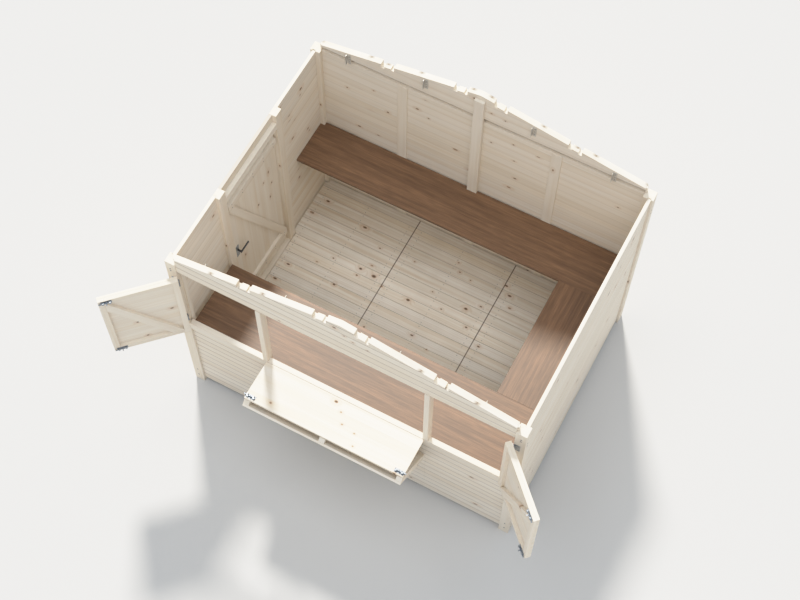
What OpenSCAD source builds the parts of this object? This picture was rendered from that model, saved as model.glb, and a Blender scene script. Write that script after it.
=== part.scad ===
// Wooden market stall: an open-topped timber booth on grooved posts, with notched gable boards,
// two side-hung shutters, a drop flap in the middle bay and a ledged door in the left wall.
// X runs to the right along the front, Y runs from the front to the back, Z is up, sizes in mm.
// The origin is on the ground in the middle of the four corner posts.

/* [Stall] */
// Width over the corner posts
stall_w = 3000; // [2800:10:3300]
// Depth over the corner posts
stall_d = 2280; // [2200:10:2500]
// Height of the corner posts
post_h = 2095; // [2090:5:2140]
// Side of a corner post
post_s = 88; // [80:1:100]
// Height of the bottom of the wall boards over the ground
wall_z = 55; // [30:1:70]
// Distance of the side walls below the top of the corner posts
wall_drop = 10; // [6:1:25]

/* [Boards] */
// Thickness of the wall boards
board_t = 28; // [22:1:34]
// Face width of one wall board
board_face = 82; // [70:1:110]
// Width of the V joint between two boards, on the outer faces
groove_w = 9; // [5:0.5:14]
// Depth of the V joint between two boards
groove_d = 4; // [2:0.5:6]
// Distance of the boards from the outer face of the posts
wall_set = 20; // [14:1:26]
// Depth of the grooves in the posts that hold the boards
seat_d = 12; // [6:1:16]

/* [Front] */
// Clear width of each shutter opening
side_open = 682; // [640:2:720]
// Face width of the two inner posts
inner_w = 42; // [36:1:60]
// Depth of the two inner posts
inner_d = 72; // [66:1:88]
// Distance of the outer back studs from the line of the inner posts, towards the middle
stud_shift = 31; // [0:1:40]
// Height of the top of the front rails
sill_z = 1130; // [1110:1:1160]
// Height of the front rails
sill_h = 90; // [70:1:100]
// Depth of the front rails
sill_d = 46; // [30:1:48]
// Distance of the lower edge of the front gable below the top of the walls
header_h = 104; // [85:1:125]

/* [Gables] */
// Thickness of the gables
gable_t = 50; // [42:1:56]
// Distance of the gables from the outer face of the posts
gable_set = 8; // [4:1:12]
// Height of the gable top over the top of the corner posts, at their outer face
gable_rise = 57; // [35:1:80]
// Slope of the gable top in degrees
gable_slope = 10.4; // [6:0.1:14]
// Distance of the inner purlin notches from the middle
notch_in = 172; // [140:1:220]
// Distance of the outer purlin notches from the middle
notch_out = 810; // [760:1:860]
// Width of a purlin notch
notch_w = 116; // [90:1:130]
// Depth of a purlin notch
notch_d = 48; // [40:1:60]
// Width of the block left in the notch
block_w = 58; // [40:1:70]
// Height of the block left in the notch
block_h = 20; // [12:1:28]
// Distance of the inner angle plates from the middle
plate_in = 467; // [420:1:520]
// Distance of the outer angle plates from the middle
plate_out = 1157; // [1100:1:1200]
// Depth of the rebate along the lower inner edge of the back gable
rebate_d = 32; // [20:1:36]
// Height of that rebate
rebate_h = 60; // [40:1:70]
// Thickness of the board on the middle back stud
king_t = 28; // [16:1:36]
// Distance of the top of that board below the ridge
king_drop = 52; // [20:1:120]
// Length of an angle plate
plate_h = 112; // [90:1:120]
// Width of the flat leg of an angle plate
plate_w = 36; // [28:1:44]

/* [Door] */
// Distance of the clear doorway from the front face of the posts
door_y = 735; // [720:1:760]
// Clear width of the doorway
door_open = 770; // [740:1:800]
// Width of the door posts along the wall
door_post_w = 85; // [70:1:90]
// Depth of the door posts
door_post_d = 64; // [58:1:70]
// Height of the door lintel
lintel_h = 165; // [145:1:205]
// Height of the door's lower hinge over its foot
door_hinge_low = 190; // [150:5:240]
// Distance of the door's upper hinge below its top
door_hinge_high = 160; // [120:5:200]
// Height of the door's lower ledge over its foot
ledge_low = 140; // [100:5:180]
// Distance of the door's upper ledge below its top
ledge_high = 210; // [170:5:250]
// Face width of the door's ledges
ledge_w = 90; // [70:1:110]
// Height of the door's handle over the ground
handle_z = 1000; // [950:5:1050]
// Distance of the handle from the free edge of the door
handle_in = 60; // [50:1:80]

/* [Floor] */
// Height of the floor
floor_z = 125; // [110:1:140]
// Thickness of the floor planks
plank_t = 26; // [20:1:32]
// Face width of a floor plank
plank_face = 93; // [80:1:120]
// Width of the joint between two floor planks
plank_gap = 4; // [2:0.5:8]
// Depth of the joint between two floor planks
plank_gap_d = 6; // [3:1:10]
// Gap between the floor and the side walls
floor_gap = 12; // [8:1:30]

/* [Worktops] */
// Height of the worktops
top_z = 1060; // [1000:1:1100]
// Thickness of the worktops
top_t = 28; // [22:1:36]
// Depth of the back worktop
back_depth = 455; // [400:1:480]
// Width of the right worktop
right_depth = 443; // [400:1:480]
// Depth of the front worktop
front_depth = 602; // [560:1:640]
// Depth of the cleats on the walls under the worktops
cleat_d = 45; // [38:1:60]
// Height of the cleats
cleat_h = 60; // [45:1:80]
// Thickness of the gussets under the worktops
gusset_t = 28; // [22:1:36]
// Distance the gussets stop short of the free edge of a worktop
gusset_back = 40; // [20:5:80]
// Height of the gussets
gusset_h = 340; // [260:10:400]

/* [Leaves] */
// Thickness of the boards of a shutter or of the door
leaf_t = 20; // [16:1:24]
// Thickness of the frame behind the leaf boards
frame_t = 28; // [22:1:30]
// Face width of the shutter frame
stile_w = 50; // [42:1:70]
// Face width of the braces
brace_w = 75; // [60:1:90]
// Gap of a shutter on its hinge side
hinge_gap = 10; // [6:1:14]
// Gap of a shutter on its free side
free_gap = 54; // [30:1:70]
// Angle of the open shutters from the closed position
shutter_angle = 135; // [110:1:170]
// How far the flap covers each inner post
flap_lap = 12; // [6:1:28]
// Depth of the flap
flap_d = 346; // [320:1:360]
// Thickness of the flap boards
flap_t = 28; // [22:1:32]
// Height of the flap's top below the top of the front rails
flap_drop = 2; // [0:1:10]
// Gap between the flap and the front rail
flap_gap = 2; // [1:1:6]
// Slope in degrees of the lower leaf that props the flap
prop_angle = 42; // [38:0.5:46]
// Thickness of the stiles and rails of the lower leaf
prop_t = 42; // [36:1:48]
// Face width of the stiles and rails of the lower leaf
prop_w = 50; // [42:1:60]
// Distance of the lower leaf's hinges from its front end
prop_set = 22; // [12:1:28]
// Distance of the lower leaf's hinges behind the front edge of the flap
prop_inset = 22; // [10:1:40]

/* [Fittings] */
// Outer radius of a hinge knuckle
knuckle_r = 9; // [8:0.5:9.5]
// Radius of a hinge pin
pin_r = 4; // [3.5:0.1:5]
// Length of one hinge knuckle
knuckle_l = 30; // [24:1:40]
// Thickness of the hinge plates
plate_t = 4; // [3:0.5:4]
// Length of the fixed hinge plates
mount_l = 62; // [50:1:70]
// Length of the straps on the shutters
shutter_strap = 210; // [150:5:260]
// Length of the straps on the door
door_strap = 330; // [250:5:400]
// Length of the plates under the flap
flap_strap = 150; // [110:5:200]
// Length of the fixed plates of the flap's hinges
flap_mount = 46; // [36:1:48]
// Length of a barrel bolt's plate
bolt_l = 86; // [70:2:100]
// Width of a barrel bolt's plate
bolt_w = 34; // [28:1:40]
// Distance a barrel bolt's rod runs past its plate
bolt_out = 16; // [8:1:24]

/* [Hidden] */

hw = stall_w / 2;
hd = stall_d / 2;
wall_top = post_h - wall_drop;
// Inner faces of the corner posts
in_x = hw - post_s;
in_y = hd - post_s;
// Inner faces of the boarded walls
wall_x = hw - wall_set - board_t;
wall_y = hd - wall_set - board_t;
// Inner posts: outer and inner faces
ip_out = in_x - side_open;
ip_in = ip_out - inner_w;
ip_mid = (ip_in + ip_out) / 2;
// Heights that follow the walls
header_z = wall_top - header_h;
door_top = wall_top - lintel_h;
// Width of the flap
flap_w = 2 * (ip_in + flap_lap);
// Gable faces
gable_y = hd - gable_set - gable_t;
// Back studs share the face width of the corner posts
stud_out = 2;
stud_x = ip_mid - stud_shift;
// Doorway edges
door_y0 = door_y - hd;
door_y1 = door_y0 + door_open;
// Clearances
hinge_out = 10;
edge_gap = 6;
leaf_gap = 6;
seat_gap = 0.3;
knuckle_gap = 0.6;
bore_gap = 0.4;
leaf_y = hinge_out + 1;

module box(x0, x1, y0, y1, z0, z1) {
    translate([x0, y0, z0]) cube([x1 - x0, y1 - y0, z1 - z0]);
}

// Positions of the V joints between a and b
function joints_at(a, b, face) = [for (s = [a + face : face : b - face / 3]) s];

// Points of the joints between boards from a to b: three on each, as distance in and distance along
function joint_points(a, b, face, w, d) = [for (s = joints_at(a, b, face), k = [-1, 0, 1])
    [k == 0 ? d : 0, s + k * w / 2]];

// Section of a boarded panel from a to b: V joints on the outer face, the inner face flush.
// The outer face is at 0, or at t where the panel is turned.
function boarded(a, b, t, face, turned = false) = [
    for (p = concat([[t, a], [0, a]], joint_points(a, b, face, groove_w, groove_d), [[0, b], [t, b]]))
        [turned ? t - p[0] : p[0], p[1]]];

// Section of a planked panel from a to b, its upper face jointed and at t
function planked(a, b, t, face, w, d) = [
    for (p = concat([[t, a], [0, a]], joint_points(a, b, face, w, d), [[0, b], [t, b]])) [p[1], t - p[0]]];

// Boarded panel along X, its front face at y0; turned where the outer face is at the back
module panel_x(x0, x1, y0, z0, z1, turned = false) {
    translate([x0, y0, 0]) rotate([90, 0, 90]) linear_extrude(x1 - x0)
        polygon(boarded(z0, z1, board_t, board_face, turned));
}

// Boarded panel along Y, its left face at x0; turned where the outer face is at the right
module panel_y(x0, y0, y1, z0, z1, turned = false) {
    translate([x0, y1, 0]) rotate([90, 0, 0]) linear_extrude(y1 - y0)
        polygon(boarded(z0, z1, board_t, board_face, turned));
}

// Corner post in the front left corner, grooved on both inner faces
module corner_post() {
    difference() {
        box(-hw, -in_x, -hd, -in_y, 0, post_h);
        box(-in_x - seat_d, -in_x + 1, -hd + wall_set, -wall_y, wall_z, post_h + 1);
        box(-hw + wall_set, -wall_x, -in_y - seat_d, -in_y + 1, wall_z, post_h + 1);
    }
}

module front_corner_posts() {
    color("burlywood") {
        corner_post();
        mirror([1, 0, 0]) corner_post();
    }
}

module back_corner_posts() {
    color("burlywood") {
        mirror([0, 1, 0]) corner_post();
        mirror([0, 1, 0]) mirror([1, 0, 0]) corner_post();
    }
}

// Inner post of the front, notched so that the rail and the boards of the lower wall run past it
module inner_post() {
    difference() {
        box(-ip_out, -ip_in, -hd, -hd + inner_d, 0, header_z);
        box(-ip_out - 1, -ip_in + 1, -hd - 1, -wall_y, -1, sill_z - sill_h);
        box(-ip_out - 1, -ip_in + 1, -hd - 1, -hd + sill_d, sill_z - sill_h - 1, sill_z);
    }
}

module front_inner_posts() {
    color("burlywood") {
        inner_post();
        mirror([1, 0, 0]) inner_post();
    }
}

// Door posts, rebated on the wall side so that the boards lap them
module door_posts() {
    color("burlywood") {
        difference() {
            box(-hw + wall_set, -hw + wall_set + door_post_d, door_y0 - door_post_w, door_y0, 0, wall_top);
            box(-hw, -wall_x, door_y0 - door_post_w - 1, door_y0 - door_post_w + seat_d,
                wall_z, wall_top + 1);
        }
        difference() {
            box(-hw + wall_set, -hw + wall_set + door_post_d, door_y1, door_y1 + door_post_w, 0, wall_top);
            box(-hw, -wall_x, door_y1 + door_post_w - seat_d, door_y1 + door_post_w + 1,
                wall_z, wall_top + 1);
        }
    }
}

// Back studs, grooved on both sides for the boards of the back wall
module back_stud(x) {
    difference() {
        box(x - post_s / 2, x + post_s / 2, gable_y, hd - stud_out, 0, wall_top);
        box(x - post_s / 2 - 1, x - post_s / 2 + seat_d, wall_y, hd - wall_set, wall_z, wall_top + 1);
        box(x + post_s / 2 - seat_d, x + post_s / 2 + 1, wall_y, hd - wall_set, wall_z, wall_top + 1);
    }
}

// The middle stud carries a board that runs up over the gable
module back_studs() {
    color("burlywood") {
        back_stud(-stud_x);
        back_stud(0);
        back_stud(stud_x);
        box(-post_s / 2, post_s / 2, gable_y - king_t, gable_y, top_z, ridge(0) - king_drop);
    }
}

// Boards of the lower front wall in one bay; the bays butt on the middle of the inner posts
module front_bay(x0, x1) {
    panel_x(x0, x1, -hd + wall_set, wall_z, sill_z - sill_h);
}

module front_wall_left() {
    color("tan") front_bay(-in_x - seat_d, -ip_mid);
}

module front_wall_middle() {
    color("tan") front_bay(-ip_mid, ip_mid);
}

module front_wall_right() {
    color("tan") front_bay(ip_mid, in_x + seat_d);
}

// Rail on top of the lower front wall, through all three bays
module front_sills() {
    color("burlywood") box(-in_x, in_x, -hd, -hd + sill_d, sill_z - sill_h, sill_z);
}

// Height of the gable top at a distance from the middle
function ridge(x) = post_h + gable_rise + (hw - abs(x)) * tan(gable_slope);

// Edge of one purlin notch with the block left in it, from left to right
function notch(x) = [
    [x - notch_w / 2, ridge(x - notch_w / 2)],
    [x - notch_w / 2, ridge(x - notch_w / 2) - notch_d],
    [x - block_w / 2, ridge(x - block_w / 2) - notch_d],
    [x - block_w / 2, ridge(x - block_w / 2) - notch_d + block_h],
    [x + block_w / 2, ridge(x + block_w / 2) - notch_d + block_h],
    [x + block_w / 2, ridge(x + block_w / 2) - notch_d],
    [x + notch_w / 2, ridge(x + notch_w / 2) - notch_d],
    [x + notch_w / 2, ridge(x + notch_w / 2)]];

function gable_outline(z0) = concat(
    [[in_x, z0], [-in_x, z0], [-in_x, ridge(in_x)]],
    notch(-notch_out), notch(-notch_in), [[0, ridge(0)]], notch(notch_in), notch(notch_out),
    [[in_x, ridge(in_x)]]);

// Gable between two corner posts, its tongues in their grooves, with board joints on the outer face
module gable(z0) {
    difference() {
        translate([0, -gable_y, 0]) rotate([90, 0, 0]) linear_extrude(gable_t) polygon(gable_outline(z0));
        for (z = joints_at(z0, ridge(0) - 30, board_face))
            translate([-hw, -gable_y - gable_t, z]) rotate([0, 90, 0]) rotate([0, 0, 45])
                linear_extrude(stall_w) square(groove_d * sqrt(2), center = true);
    }
    box(-in_x - seat_d, -in_x, -hd + wall_set, -wall_y, z0, ridge(in_x) - 4);
    box(in_x, in_x + seat_d, -hd + wall_set, -wall_y, z0, ridge(in_x) - 4);
}

module front_gable() {
    color("wheat") gable(header_z);
}

// The back gable is rebated on its lower inner edge, so that the top of the wall shows as a ledge
module back_gable() {
    color("wheat") mirror([0, 1, 0]) difference() {
        gable(wall_top);
        box(-in_x, in_x, -gable_y - rebate_d, -gable_y + 1, wall_top - 1, wall_top + rebate_h);
    }
}

// Boards of the back wall in four bays
module back_wall() {
    color("tan") {
        for (x = [[-in_x, -stud_x - post_s / 2], [post_s / 2 - stud_x, -post_s / 2],
            [post_s / 2, stud_x - post_s / 2], [stud_x + post_s / 2, in_x]])
            panel_x(x[0] - seat_d, x[1] + seat_d, wall_y, wall_z, wall_top, true);
    }
}

module left_wall_front() {
    color("tan")
        panel_y(-hw + wall_set, -in_y - seat_d, door_y0 - door_post_w + seat_d, wall_z, wall_top);
}

module left_wall_back() {
    color("tan")
        panel_y(-hw + wall_set, door_y1 + door_post_w - seat_d, in_y + seat_d, wall_z, wall_top);
}

module right_wall() {
    color("tan") panel_y(wall_x, -in_y - seat_d, in_y + seat_d, wall_z, wall_top, true);
}

// Boarded lintel over the door with a head rail behind it
module door_lintel() {
    color("tan") {
        panel_y(-hw + wall_set, door_y0, door_y1, door_top, wall_top);
        box(-wall_x, -hw + wall_set + door_post_d, door_y0, door_y1, door_top, door_top + 70);
    }
}

module door_threshold() {
    color("burlywood")
        box(-hw + wall_set, -hw + wall_set + door_post_d, door_y0, door_y1, wall_z, floor_z);
}

// One floor panel: planks along X, clear of the posts
floor_x = wall_x - floor_gap;
seam_w = 2 * seat_gap;
floor_w = (2 * (floor_x - seam_w)) / 3;
floor_y0 = -in_y + 4;
floor_y1 = gable_y - seat_gap;
joist_w = 45;
joist_in = 40;
post_gap = 4;
module floor_panel(x0) {
    translate([x0, 0, floor_z - plank_t]) rotate([90, 0, 90]) linear_extrude(floor_w)
        polygon(planked(floor_y0, floor_y1, plank_t, plank_face, plank_gap, plank_gap_d));
}

// Three joists under each floor panel, standing on the ground
module floor_joists() {
    color("burlywood")
        for (x = [-floor_x, -floor_w / 2, floor_x - floor_w])
            for (s = [joist_in, (floor_w - joist_w) / 2, floor_w - joist_in - joist_w])
                box(x + s, x + s + joist_w, floor_y0 + 70, floor_y1 - 40, 0, floor_z - plank_t);
}

module floor_left() {
    color("tan") difference() {
        floor_panel(-floor_x);
        box(-hw, -hw + wall_set + door_post_d + post_gap, door_y0 - door_post_w - post_gap,
            door_y1 + door_post_w + post_gap, 0, floor_z + 1);
        box(-hw, -in_x + post_gap, in_y - post_gap, hd, 0, floor_z + 1);
    }
}

module floor_middle() {
    color("tan") floor_panel(-floor_w / 2);
}

module floor_right() {
    color("tan") difference() {
        floor_panel(floor_x - floor_w);
        box(in_x - post_gap, hw, in_y - post_gap, hd, 0, floor_z + 1);
    }
}

// Worktops in a U around the room
top_y0 = -wall_y + front_depth;
top_y1 = wall_y - back_depth;
top_x1 = wall_x - right_depth;
top_under = top_z - top_t;
post_back = -hd + inner_d;
module worktop_back() {
    color("saddlebrown") difference() {
        box(-wall_x, wall_x, top_y1, gable_y, top_under, top_z);
        box(-hw, -in_x, in_y, hd, 0, top_z + 1);
        box(in_x, hw, in_y, hd, 0, top_z + 1);
    }
}

module worktop_right() {
    color("saddlebrown") box(top_x1, wall_x, top_y0, top_y1, top_under, top_z);
}

module worktop_front() {
    color("saddlebrown") difference() {
        box(-in_x, in_x, -wall_y, top_y0, top_under, top_z);
        box(-ip_out, -ip_in, -hd, post_back, 0, top_z + 1);
        box(ip_in, ip_out, -hd, post_back, 0, top_z + 1);
    }
}

// Cleats on the walls under the worktops
module worktop_cleats() {
    z0 = top_under - cleat_h;
    color("burlywood") {
        box(-in_x, in_x, gable_y - cleat_d, gable_y, z0, top_under);
        box(wall_x - cleat_d, wall_x, top_y0, top_y1, z0, top_under);
        box(-in_x, -ip_out, -wall_y, -wall_y + cleat_d, z0, top_under);
        box(-ip_in, ip_in, -wall_y, -wall_y + cleat_d, z0, top_under);
        box(ip_out, in_x, -wall_y, -wall_y + cleat_d, z0, top_under);
    }
}

// Side of a gusset that stands on a wall at 0 and reaches out under a worktop, cut out round its cleat
function gusset_side(reach, cleat) = concat(
    [[0, -gusset_h], [reach, -cleat_h / 2], [reach, 0]],
    cleat > 0 ? [[cleat, 0], [cleat, -cleat_h], [0, -cleat_h]] : [[0, 0]]);

module gusset(reach, cleat) {
    rotate([90, 0, 0]) linear_extrude(gusset_t, center = true) polygon(gusset_side(reach, cleat));
}

module worktop_gussets() {
    color("burlywood") {
        for (x = [-stud_x, 0, stud_x]) translate([x, gable_y, top_under]) rotate([0, 0, -90])
            gusset(gable_y - top_y1 - gusset_back, cleat_d);
        for (x = [-ip_mid, ip_mid]) translate([x, post_back, top_under])
            rotate([0, 0, 90]) gusset(top_y0 - post_back - gusset_back, 0);
        translate([0, -wall_y, top_under]) rotate([0, 0, 90]) gusset(top_y0 + wall_y - gusset_back, cleat_d);
        for (k = [1, 3, 5]) translate([wall_x, top_y0 + (top_y1 - top_y0) * k / 6, top_under])
            rotate([0, 0, 180]) gusset(right_depth - gusset_back, cleat_d);
    }
}

// Angle plates on the inner faces of the gables
module gable_bracket(x) {
    translate([x - plate_w / 2, gable_y, ridge(x) - plate_h - 16]) {
        translate([0, -plate_t, 0]) cube([plate_w, plate_t, plate_h]);
        translate([0, -26, 0]) cube([plate_t, 26 - plate_t, plate_h]);
    }
}

module gable_brackets() {
    color("slategray") for (x = [-plate_out, -plate_in, plate_in, plate_out]) {
        gable_bracket(x);
        mirror([0, 1, 0]) gable_bracket(x);
    }
}

// Fixed half of a hinge on an axis along Z: knuckle, pin and plate on the face at y = hinge_out
module hinge_mount(length = mount_l) {
    cylinder(h = knuckle_l, r = knuckle_r, center = true, $fn = 24);
    cylinder(h = 3 * knuckle_l + 4, r = pin_r, center = true, $fn = 24);
    box(-12, 0, knuckle_r - plate_t, knuckle_r, -knuckle_l / 2, knuckle_l / 2);
    box(-length, -12, hinge_out - plate_t, hinge_out, -1.5 * knuckle_l, 1.5 * knuckle_l);
}

// Moving half of a hinge on an axis along Z: two knuckles and a strap on the leaf face at y = face
module hinge_strap(strap_l, face) {
    difference() {
        union() {
            for (k = [-1, 1]) translate([0, 0, k * knuckle_l]) {
                cylinder(h = knuckle_l - 2 * knuckle_gap, r = knuckle_r, center = true, $fn = 24);
                box(0, 12, face - plate_t, face,
                    knuckle_gap - knuckle_l / 2, knuckle_l / 2 - knuckle_gap);
            }
            box(12, strap_l, face - plate_t, face,
                knuckle_gap - 1.5 * knuckle_l, 1.5 * knuckle_l - knuckle_gap);
        }
        cylinder(h = 4 * knuckle_l, r = pin_r + bore_gap, center = true, $fn = 24);
    }
}

// Left shutter, closed, on an axis along Z at the origin
sh_x0 = 2;
sh_l = side_open - hinge_gap - free_gap;
sh_z0 = sill_z + leaf_gap;
sh_z1 = header_z - leaf_gap;
sh_hinges = [sh_z0 + 130, sh_z1 - 130];
sh_inner = leaf_y + leaf_t + frame_t;
shutter_x = -in_x + hinge_gap;
shutter_y = -hd - hinge_out;

module at_left_shutter() {
    translate([shutter_x, shutter_y, 0]) rotate([0, 0, -shutter_angle]) children();
}

module shutter_boards() {
    translate([sh_x0, leaf_y, 0]) rotate([90, 0, 90]) linear_extrude(sh_l - sh_x0)
        polygon(boarded(sh_z0, sh_z1, leaf_t, board_face));
}

// Stiles, rails and a brace that rises from the lower hinge corner to the upper free corner
module shutter_frame() {
    x0 = sh_x0 + stile_w;
    x1 = sh_l - stile_w;
    z0 = sh_z0 + stile_w;
    z1 = sh_z1 - stile_w;
    rise = atan((z1 - z0) / (x1 - x0));
    box(sh_x0, x0, leaf_y + leaf_t, sh_inner, sh_z0, sh_z1);
    box(x1, sh_l, leaf_y + leaf_t, sh_inner, sh_z0, sh_z1);
    box(x0, x1, leaf_y + leaf_t, sh_inner, sh_z0, z0);
    box(x0, x1, leaf_y + leaf_t, sh_inner, z1, sh_z1);
    translate([0, sh_inner, 0]) rotate([90, 0, 0]) linear_extrude(frame_t) polygon([
        [x0, z0], [x0 + brace_w / sin(rise), z0], [x1, z1 - brace_w / cos(rise)], [x1, z1]]);
}

// Barrel bolt lying on a face at z = 0, its rod pointing along +X and ending at x = 0
module barrel_bolt() {
    bolt_r = 5;
    plate = 3;
    axis = plate + bolt_r + 2;
    x0 = -bolt_l - bolt_out;
    box(x0, -bolt_out, -bolt_w / 2, bolt_w / 2, 0, plate);
    for (s = [0.08, 0.72]) box(x0 + s * bolt_l, x0 + s * bolt_l + 14, -11, 11, plate, axis + bolt_r + 2);
    translate([x0 + 4, 0, axis]) rotate([0, 90, 0]) cylinder(h = bolt_l + bolt_out - 4, r = bolt_r, $fn = 24);
    translate([x0 + 0.5 * bolt_l, 0, axis]) cylinder(h = 20, r = 4, $fn = 24);
}

module shutter_fittings() {
    for (z = sh_hinges) translate([0, 0, z]) hinge_strap(shutter_strap, leaf_y);
    for (z = [sh_z0 + stile_w / 2, sh_z1 - stile_w / 2])
        translate([sh_l - 4, sh_inner, z]) rotate([-90, 0, 0]) barrel_bolt();
}

module shutter_hinge_mounts() {
    color("slategray") for (z = sh_hinges) {
        translate([shutter_x, shutter_y, z]) hinge_mount();
        mirror([1, 0, 0]) translate([shutter_x, shutter_y, z]) hinge_mount();
    }
}

module shutter_left_boards() {
    color("tan") at_left_shutter() shutter_boards();
}

module shutter_left_frame() {
    color("burlywood") at_left_shutter() shutter_frame();
}

module shutter_left_fittings() {
    color("slategray") at_left_shutter() shutter_fittings();
}

module shutter_right_boards() {
    color("tan") mirror([1, 0, 0]) at_left_shutter() shutter_boards();
}

module shutter_right_frame() {
    color("burlywood") mirror([1, 0, 0]) at_left_shutter() shutter_frame();
}

module shutter_right_fittings() {
    color("slategray") mirror([1, 0, 0]) at_left_shutter() shutter_fittings();
}

// Flap in the middle bay, lying level in front of the front rail, its jointed outer face below
flap_x = flap_w / 2;
axis_y = -hd - hinge_out;
flap_z1 = sill_z - flap_drop;
flap_z0 = flap_z1 - flap_t;
axis_z = flap_z0 - seat_gap - knuckle_r;
flap_y1 = -hd - flap_gap;
flap_y0 = flap_y1 - flap_d;
flap_hinges = [-ip_in + 120, 0, ip_in - 120];

module flap_boards() {
    color("tan") translate([-flap_x, 0, flap_z1]) mirror([0, 0, 1]) rotate([90, 0, 90])
        linear_extrude(flap_w) polygon(planked(flap_y0, flap_y1, flap_t, board_face, groove_w, groove_d));
}

// The lower leaf slopes from its hinges under the front edge of the flap down to the wall boards.
// In its own frame Y runs down the slope from the front end, and the upper face is at z = 0.
fold_y = flap_y0 + prop_inset;
fold_z = flap_z0 - knuckle_r;
prop_y = fold_y - prop_set * cos(prop_angle) - knuckle_r * sin(prop_angle);
prop_z = fold_z + prop_set * sin(prop_angle) - knuckle_r * cos(prop_angle);
prop_l = (-hd + wall_set - seat_gap - prop_y) / cos(prop_angle);

module at_prop() {
    translate([0, prop_y, prop_z]) rotate([-prop_angle, 0, 0]) children();
}

module flap_leaf_boards() {
    color("tan") at_prop() translate([-flap_x, 0, -prop_t]) mirror([0, 0, 1]) rotate([90, 0, 90])
        linear_extrude(flap_w) polygon(planked(0, prop_l, leaf_t, board_face, groove_w, groove_d));
}

module flap_leaf_frame() {
    color("burlywood") at_prop() {
        for (x = [-flap_x, -prop_w / 2, flap_x - prop_w]) box(x, x + prop_w, 0, prop_l, -prop_t, 0);
        for (x = [[-flap_x + prop_w, -prop_w / 2], [prop_w / 2, flap_x - prop_w]])
            for (u = [prop_w * 2, prop_l - prop_w]) box(x[0], x[1], u, u + prop_w, -prop_t, 0);
    }
}

// Hinge of the flap, hidden under its back edge: one plate carries the boards, the other hangs on the rail
module at_flap_hinge(x) {
    translate([x, axis_y, axis_z]) rotate([0, 90, 0]) children();
}

// Hinge between the flap and the lower leaf, its plates on the facing sides of both
module fold_hinge(x) {
    translate([x, fold_y, fold_z]) {
        rotate([0, 90, 0]) cylinder(h = 3 * knuckle_l, r = knuckle_r, center = true, $fn = 24);
        box(-1.5 * knuckle_l, 1.5 * knuckle_l, 0, mount_l, knuckle_r - plate_t, knuckle_r);
        rotate([-prop_angle, 0, 0])
            box(-1.5 * knuckle_l, 1.5 * knuckle_l, 0, mount_l, -knuckle_r, plate_t - knuckle_r);
    }
}

module flap_fittings() {
    color("slategray") {
        for (x = flap_hinges) translate([x, axis_y, axis_z]) flap_plate();
        for (x = flap_hinges) fold_hinge(x);
        for (k = [0, 1]) mirror([k, 0, 0]) translate([flap_x + bolt_out, flap_y0 + 28, flap_z1])
            barrel_bolt();
    }
}

// Two knuckles on the axis along X and the plate that lies under the flap boards
module flap_plate() {
    half = knuckle_l / 2 - knuckle_gap;
    difference() {
        union() {
            for (x = [-knuckle_l, knuckle_l]) {
                translate([x, 0, 0]) rotate([0, 90, 0])
                    cylinder(h = 2 * half, r = knuckle_r, center = true, $fn = 24);
                box(x - half, x + half, -12, 0, knuckle_r - plate_t, knuckle_r);
            }
            box(-knuckle_l - half, knuckle_l + half, -flap_strap, -12, knuckle_r - plate_t, knuckle_r);
        }
        rotate([0, 90, 0]) cylinder(h = 4 * knuckle_l, r = pin_r + bore_gap, center = true, $fn = 24);
    }
}

module flap_hinge_mounts() {
    color("slategray") for (x = flap_hinges) at_flap_hinge(x) mirror([1, 0, 0]) hinge_mount(flap_mount);
}

// Door in the left wall, closed, on an axis along Z
door_ax = -hw + wall_set - hinge_out;
door_ay = door_y1 - edge_gap + 2;
door_l = door_open - edge_gap - leaf_gap - 2;
door_z0 = floor_z + leaf_gap;
door_z1 = door_top - leaf_gap;
door_hinges = [door_z0 + door_hinge_low, door_z1 - door_hinge_high];

module at_door() {
    translate([door_ax, door_ay, 0]) rotate([0, 0, -90]) children();
}

module door_boards() {
    color("tan") at_door() translate([0, leaf_y, door_z0]) linear_extrude(door_z1 - door_z0)
        translate([0, leaf_t]) rotate(-90) polygon(boarded(2, door_l, leaf_t, board_face, true));
}

// Ledges and braces on the inner face of the door
module door_ledges() {
    y1 = leaf_y + leaf_t + frame_t;
    low = door_z0 + ledge_low;
    high = door_z1 - ledge_high;
    color("burlywood") at_door() {
        for (z = [low, high]) box(14, door_l - 14, leaf_y + leaf_t, y1, z, z + ledge_w);
        translate([0, y1, 0]) rotate([90, 0, 0]) linear_extrude(frame_t) polygon([
            [14, low], [14 + brace_w, low], [14 + brace_w, low + ledge_w],
            [door_l - 14, high], [door_l - 14, high + ledge_w], [door_l - 14 - brace_w, high + ledge_w],
            [door_l - 14 - brace_w, high], [14, low + ledge_w]]);
    }
}

module door_fittings() {
    color("slategray") at_door() {
        for (z = door_hinges) translate([0, 0, z]) hinge_strap(door_strap, leaf_y);
        translate([door_l - handle_in, leaf_y + leaf_t, handle_z]) {
            translate([-20, 0, -80]) cube([40, 3, 160]);
            translate([0, 3, 20]) rotate([-90, 0, 0]) cylinder(h = 40, r = 9, $fn = 24);
            translate([-110, 35, 12]) cube([120, 10, 16]);
        }
    }
}

module door_hinge_mounts() {
    color("slategray") for (z = door_hinges)
        at_door() translate([0, 0, z]) hinge_mount();
}

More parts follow.
